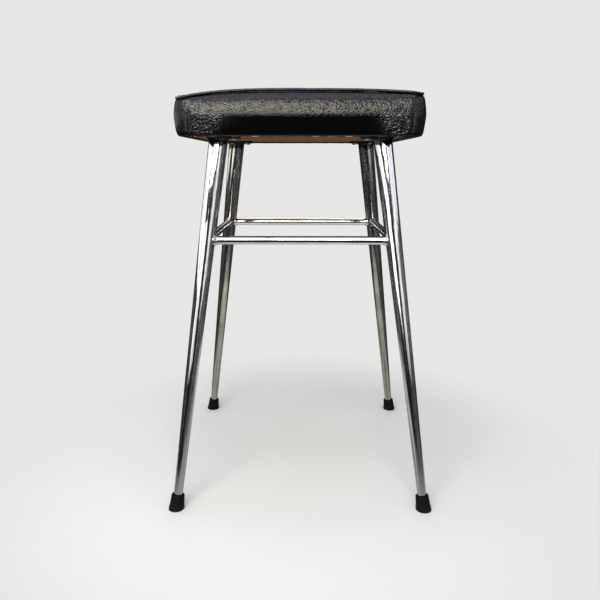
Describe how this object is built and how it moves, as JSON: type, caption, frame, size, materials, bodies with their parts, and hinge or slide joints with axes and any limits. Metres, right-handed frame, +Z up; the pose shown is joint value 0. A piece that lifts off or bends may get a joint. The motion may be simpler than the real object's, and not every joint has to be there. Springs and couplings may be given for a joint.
{
  "type": "bar stool with footrest",
  "caption": "Square backless stool: boxed black vinyl seat with piping on splayed tapered chrome legs, tied by a ring of rungs that serves as a footrest.",
  "frame": {"origin": "on the floor, under the middle of the seat", "axes": "+Z up, +X to the sitter's right seen from the front, -Y towards the front"},
  "size_m": [0.4112, 0.4112, 0.6345],
  "materials": {
    "chrome_tube": "polished chrome plate on steel tube, light wear near the feet",
    "plate_steel": "chromed steel plate, duller than the legs",
    "screw_steel": "zinc-plated pan-head screws",
    "black_rubber": "matt moulded rubber",
    "plywood": "bare unvarnished plywood",
    "cream_foam": "open-cell upholstery foam, hidden by the cover",
    "black_vinyl": "grained vinyl leathercloth, semi-gloss",
    "black_vinyl_piping": "the same vinyl sewn round a cord"
  },
  "bodies": {
    "root": {"leg_front_right": "chrome_tube", "leg_back_right": "chrome_tube", "leg_back_left": "chrome_tube", "leg_front_left": "chrome_tube", "rung_front": "chrome_tube", "rung_right": "chrome_tube", "rung_back": "chrome_tube", "rung_left": "chrome_tube", "rubber_foot_front_right": "black_rubber", "rubber_foot_back_right": "black_rubber", "rubber_foot_back_left": "black_rubber", "rubber_foot_front_left": "black_rubber", "mounting_plate_front_right": "plate_steel", "mounting_plate_back_right": "plate_steel", "mounting_plate_back_left": "plate_steel", "mounting_plate_front_left": "plate_steel", "screw_front_right_1": "screw_steel", "screw_front_right_2": "screw_steel", "screw_front_right_3": "screw_steel", "screw_back_right_1": "screw_steel", "screw_back_right_2": "screw_steel", "screw_back_right_3": "screw_steel", "screw_back_left_1": "screw_steel", "screw_back_left_2": "screw_steel", "screw_back_left_3": "screw_steel", "screw_front_left_1": "screw_steel", "screw_front_left_2": "screw_steel", "screw_front_left_3": "screw_steel", "seat_board": "plywood", "foam_pad": "cream_foam", "seat_cover_band": "black_vinyl", "seat_cover_top": "black_vinyl", "seat_piping": "black_vinyl_piping"}
  },
  "joints": []
}
